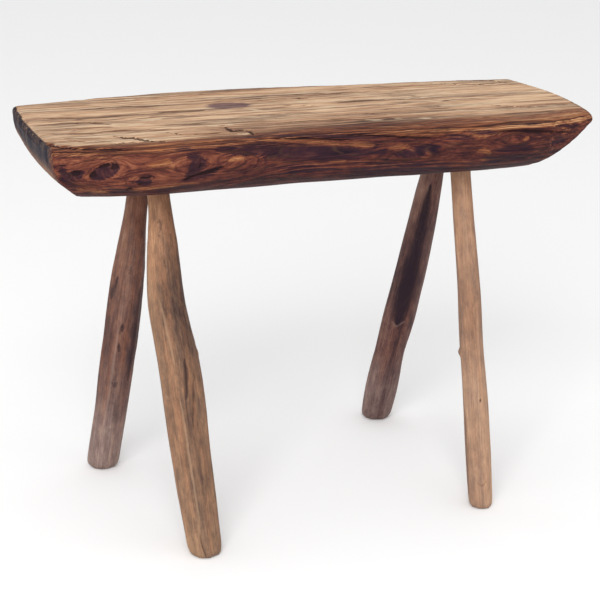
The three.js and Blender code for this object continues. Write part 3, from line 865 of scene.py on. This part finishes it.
BACK_RIGHT = {
    "slot": "leg_wood_dark",
    "palette": even((42, 30, 40), (68, 50, 54), (100, 76, 74), (132, 108, 102), (164, 140, 130)),
    "warm": even((44, 28, 32), (74, 46, 44), (108, 72, 64), (140, 104, 92), (170, 134, 118)),
    # lightness across the leg: its own tone with painted light and shade
    "shades": [(0, 0.72, 0.62, 0.68), (45, 0.84, 0.64, 0.7), (75, 0.72, 0.5, 0.64),
               (105, 0.54, 0.4, 0.54), (150, 0.54, 0.34, 0.5), (225, 0.48, 0.38, 0.48),
               (285, 0.58, 0.46, 0.56), (320, 0.82, 0.58, 0.58), (360, 0.84, 0.56, 0.48)],
    "warmth": (0, 0.1, 0.3, 0.6, 0.6, 0.4, 0.5, 0.7, 0.7),
    "strokes": [
        ([(-0.02, 338), (-0.08, 290), (-0.12, 240), (-0.14, 196), (-0.1, 150)], 23, 0.85),
        ([(-0.1, 262), (-0.14, 200), (-0.12, 146)], 31, 0.95), ([(0, 148), (0.05, 138)], 7, 0.4),
        ([(0.15, 96), (0.1, 74)], 8, 0.3), ([(0.3, 36), (0, 28), (-0.2, 20)], 6, 0.35),
        ([(-0.7, 16), (-0.8, 6)], 5, 0.4), ([(0.5, 320), (0.6, 260), (0.55, 200)], 3.4, 0.3),
    ],
    "pale": [([(-0.5, 150), (-0.1, 143), (0.35, 152)], 2)],
}
LEG_LOOKS = {"leg_front_left": FRONT_LEFT, "leg_front_right": FRONT_RIGHT,
             "leg_back_left": BACK_LEFT, "leg_back_right": BACK_RIGHT}


# Noise in a leg's wood: its size through, across and along the grain, its detail and its roughness.
LEG_GRAIN = {
    "hair": ((0.6, 0.6, 20), 3, 0.6),
    "fibre": ((1.6, 1.6, 34), 3, 0.6),
    "streak": ((4.2, 4.2, 60), 2, 0.55),
    "sweep": ((10, 10, 110), 1, 0.5),
    "speck": ((1.2, 1.2, 3), 2, 0.6),
    "mottle": ((7, 7, 16), 4, 0.65),
}
LEG_MIX = {
    "shade": {"line": -0.07, "streak": 0.15, "fibre": 0.18, "hair": 0.18, "sweep": 0.12, "mottle": 0.3,
              "speck": 0.12},
    "warmth": {"sweep": 0.5, "streak": 0.2, "mottle": 0.5},
    "black": {"speck": 0.3, "fibre": 0.35},
    "height": {"line": 0.3, "hair": 0.25, "fibre": 0.4},
}
LEG_LATE_WOOD = [(0, 0), (0.55, 0.2), (0.85, 1), (1, 0)]
FOOT_COLOUR = (112, 92, 80)


def leg_end(node, foot):
    """The middle of a leg's foot, or else of its tenon's end, in millimetres."""
    places = read_points(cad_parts[node].data)[0]
    at_end = places[:, 2] < 1 if foot else places[:, 2] > places[:, 2].max() - 1
    return places[at_end].mean(axis=0)


def leg_frame(node):
    """A matrix that stands the leg upright, with its foot's middle at the origin."""
    foot = leg_end(node, foot=True)
    axis = Vector(leg_end(node, foot=False) - foot).normalized()
    turn = axis.rotation_difference(Vector((0, 0, 1))).to_matrix().to_4x4()
    return turn @ Matrix.Translation(-Vector(foot) * MM)


def centre_line(places):
    """Middle and mean radius of a leg at each vertex's height."""
    z = places[:, 2]
    rings = slices(z, LEG_BIN)[1]
    rows = np.array([places[ring].mean(axis=0) for ring in rings])
    middle = np.column_stack([np.interp(z, rows[:, 2], rows[:, k]) for k in (0, 1)])
    away = np.hypot(places[:, 0] - middle[:, 0], places[:, 1] - middle[:, 1])
    return middle, np.interp(z, rows[:, 2], [away[ring].mean() for ring in rings])


class LegSurface:
    """A leg's vertices: where each one lies on the floor's axes, on the leg's own and on its round face."""

    def __init__(self, number, upright, places, normals):
        self.places, self.normals = places, normals
        self.own = places @ np.array(upright.to_3x3()).T + np.array(upright.translation) / MM
        self.z = places[:, 2]
        seed = SEED + 10 * (number + 1)
        self.broad, self.fine, self.ragged = Noise(seed), Noise(seed + 1), Noise(seed + 2)
        middle, self.radius = centre_line(places)
        self.spoke = np.column_stack([places[:, :2] - middle, np.zeros(len(places))])
        self.q = self.spoke @ VIEW_RIGHT / self.radius
        facing = -(self.spoke @ VIEW_AWAY) / self.radius
        self.front = smoothstep(-0.15, 0.15, facing)
        # the hidden half wears the same kind of marks, turned over
        self.mq = np.where(facing > 0, self.q, -0.8 * self.q + 0.1) + 0.05 * self.ragged(places, (7, 7, 20))
        self.mz = np.where(facing > 0, self.z, LEG_TURN - self.z)
        self.mz = self.mz + 2 * self.ragged(places + 40, (7, 7, 18))

    def line(self, q, z, points, width, edge):
        """1 on a line whose points are given as (q, z), 0 away from it."""
        mean = self.radius.mean()
        return stroke(q * mean, z, [(a * mean, b) for a, b in points], width, edge)


def leg_marks(leg, look, ring):
    """The growth rings as knots raise them, dark and pale marks, and how far the surface sinks in them. Pale
    lines along facet ridges are painted highlights.
    """
    black = np.zeros(len(leg.z))
    for points, width, strength in look["strokes"]:
        mark = leg.line(leg.mq, leg.mz, points, width, DARK_EDGE)
        black = np.maximum(black, strength * mark * (0.55 + 0.45 * leg.front))
    # pale lines on the side facing the front; those along the facet ridges are painted highlights
    pale = np.zeros(len(leg.z))
    for points, width in look["pale"]:
        mark = leg.line(leg.q, leg.z, points, width, PALE_EDGE)
        pale = np.maximum(pale, 0.45 * leg.front * mark)
    sunk = 0.9 * black
    for (kq, kz), size in look.get("knots", []):
        mean = leg.radius.mean()
        reach = np.hypot(leg.mq * mean - kq * mean, (leg.mz - kz) * 0.75)
        ring = ring + 2.6 * size * np.exp(-(reach / (1.7 * size)) ** 2)
        rim = np.exp(-((reach - size) / (0.35 * size)) ** 2)
        black = np.maximum(black, 0.35 * rim)
        pale = np.maximum(pale, 0.5 * np.exp(-(reach / (0.6 * size)) ** 2))
        sunk = sunk - 0.9 * np.exp(-(reach / size) ** 2)
    return ring, black, pale, sunk


def leg_tones(leg, look):
    """How light and how warm the leg is, before its fine grain: the wood's own tone with painted light and
    shade across it.
    """
    # the shades by height and across the leg hold painted light and shade as well as the wood's tone
    shades = np.array(look["shades"], float)
    left, middle, right = (np.interp(leg.z, shades[:, 0], shades[:, k]) for k in (1, 2, 3))
    first, second, third = SHADE_PLACES
    tone = left + (middle - left) * np.clip((leg.q - first) / (second - first), 0, 1)
    tone = tone + (right - middle) * np.clip((leg.q - second) / (third - second), 0, 1)
    tone = tone + 0.07 * leg.broad(leg.own + 60, (14, 14, 90)) + 0.06 * leg.fine(leg.own + 70, (8, 8, 40))
    return tone, np.interp(leg.z, shades[:, 0], look["warmth"])


def leg_relief(leg, look, ring, sunk):
    """How far the surface rises: knife facets, raised grain, sunken marks and the stubs of twigs."""
    around = np.column_stack([leg.spoke[:, :2] / leg.radius[:, None], leg.z / FACET_LENGTH])
    facets = 0.75 * leg.broad(around + 9, (0.9, 0.9, 1)) - 0.55
    grain = np.sin(2 * math.pi * ring / LEG_RING)
    lift = facets + 0.09 * grain + 0.1 * leg.fine(leg.own + 80, (2.6, 2.6, 26)) - 0.15
    lift = lift - sunk
    for q, z in look.get("nubs", []):
        away = np.hypot((leg.q - q) * leg.radius, leg.z - z)
        lift = lift + NUB_HEIGHT * np.exp(-away ** 2 / NUB_SIZE ** 2)
    return lift


def build_leg(number, node):
    look = LEG_LOOKS[node]
    upright = leg_frame(node)
    squeeze = Matrix.Diagonal((1, 1, SQUEEZE, 1))
    piece = fine_copy(node, node + "_stick", squeeze @ upright, LEG_CELL, LEG_SOFTENING)
    leg = LegSurface(number, upright, *read_points(piece.data))
    own = leg.own
    ring = np.hypot(own[:, 0] - LEG_PITH[0], own[:, 1] - LEG_PITH[1])
    ring = ring + 3.2 * leg.broad(own, (38, 38, 190)) + 0.9 * leg.fine(own, (13, 13, 60))
    ring = ring + 0.3 * leg.fine(own, (5, 5, 22))
    ring, black, pale, sunk = leg_marks(leg, look, ring)
    tone, warmth = leg_tones(leg, look)
    bare = 1 - smoothstep(NECK_LEVEL, NECK_LEVEL + NECK_FADE, leg.z)
    moved = leg.places + leg.normals * (leg_relief(leg, look, ring, sunk) * bare)[:, None]
    write_points(piece.data, node, moved)
    values = {"ring": ring, "tone": tone, "warmth": warmth, "black": black, "pale": pale}
    values |= {"wood": own, "foot": 1 - smoothstep(0.5, 9, leg.z)}
    finish_piece(piece, node, leg_material(look), values)


def leg_material(look):
    p = Paint(look["slot"])
    wood = p.attribute("wood", vector=True)
    ring, tone, warmth, black, pale, foot = map(p.attribute, "ring tone warmth black pale foot".split())
    grain = {name: p.grain(wood, *row) for name, row in LEG_GRAIN.items()}
    late = p.late_wood(ring, LEG_RING, (8, 4), LEG_LATE_WOOD)
    grain["line"] = p.times(late, p.step(grain["streak"], -0.4, 0.3, 0.25, 1))
    shade = p.mixed(tone, grain, LEG_MIX["shade"])
    warm = p.step(p.mixed(warmth, grain, LEG_MIX["warmth"]), 0, 1)
    colour = p.blend(warm, p.ramp(shade, look["palette"]), p.ramp(shade, look["warm"]))
    darkest, palest = look["palette"][0][1], look["palette"][-1][1]
    # pale marks in the palest colour, which along the facet ridges are painted highlights
    colour = p.lay(colour, pale, 0.6, linear(palest))
    dark = p.step(p.mixed(black, grain, LEG_MIX["black"]), 0.1, 1)
    colour = p.lay(colour, dark, 0.95, linear(darkest))
    colour = p.lay(colour, foot, 0.25, linear(FOOT_COLOUR))
    rough = p.add(0.62, p.times(grain["fibre"], 0.15))
    return p.finish(colour, rough, p.mixed(0, grain, LEG_MIX["height"]), 0.35)


# ---------------- floor, light and camera
def build_stage():
    bpy.ops.mesh.primitive_plane_add(size=FLOOR_SIZE)
    floor = bpy.context.object
    floor.name = "floor"
    paint = bpy.data.materials.new("floor_paint")
    paint.use_nodes = True
    shader = paint.node_tree.nodes["Principled BSDF"]
    shader.inputs["Base Color"].default_value = (FLOOR_SHADE, FLOOR_SHADE, FLOOR_SHADE, 1)
    shader.inputs["Roughness"].default_value = FLOOR_ROUGHNESS
    floor.data.materials.append(paint)

    world = bpy.data.worlds.new("studio")
    world.use_nodes = True
    background = world.node_tree.nodes["Background"]
    background.inputs["Color"].default_value = (1, 1, 1, 1)
    background.inputs["Strength"].default_value = SKY_STRENGTH
    scene.world = world


def build_lamp():
    """A soft square lamp that points at the middle of the stool."""
    lamp = bpy.data.lights.new("key", "AREA")
    lamp.shape = "SQUARE"
    lamp.size = LAMP_SIZE
    lamp.energy = LAMP_WATTS
    holder = bpy.data.objects.new("key", lamp)
    holder.location = LAMP_PLACE
    aim = Vector(LAMP_AIM) - Vector(LAMP_PLACE)
    holder.rotation_euler = aim.to_track_quat("-Z", "Y").to_euler()
    scene.collection.objects.link(holder)


def build_camera():
    pitch, roll = math.radians(CAMERA_PITCH), math.radians(CAMERA_ROLL)
    away, right = Vector(VIEW_AWAY), Vector(VIEW_RIGHT)
    upward = Vector((0, 0, 1))
    ahead = away * math.cos(pitch) - upward * math.sin(pitch)
    above = away * math.sin(pitch) + upward * math.cos(pitch)
    across = right * math.cos(roll) + above * math.sin(roll)
    above = above * math.cos(roll) - right * math.sin(roll)
    camera = bpy.data.cameras.new("camera")
    camera.sensor_width = CAMERA_SENSOR
    camera.lens = CAMERA_LENS
    camera.clip_end = CAMERA_REACH
    holder = bpy.data.objects.new("camera", camera)
    turn = Matrix((across, above, -ahead)).transposed().to_4x4()
    holder.matrix_world = Matrix.Translation(Vector(CAMERA_PLACE)) @ turn
    scene.collection.objects.link(holder)
    scene.camera = holder


build_seat()
for number, node in enumerate(LEG_LOOKS):
    build_leg(number, node)
build_stage()
build_lamp()
build_camera()
scene.view_settings.view_transform = "Standard"
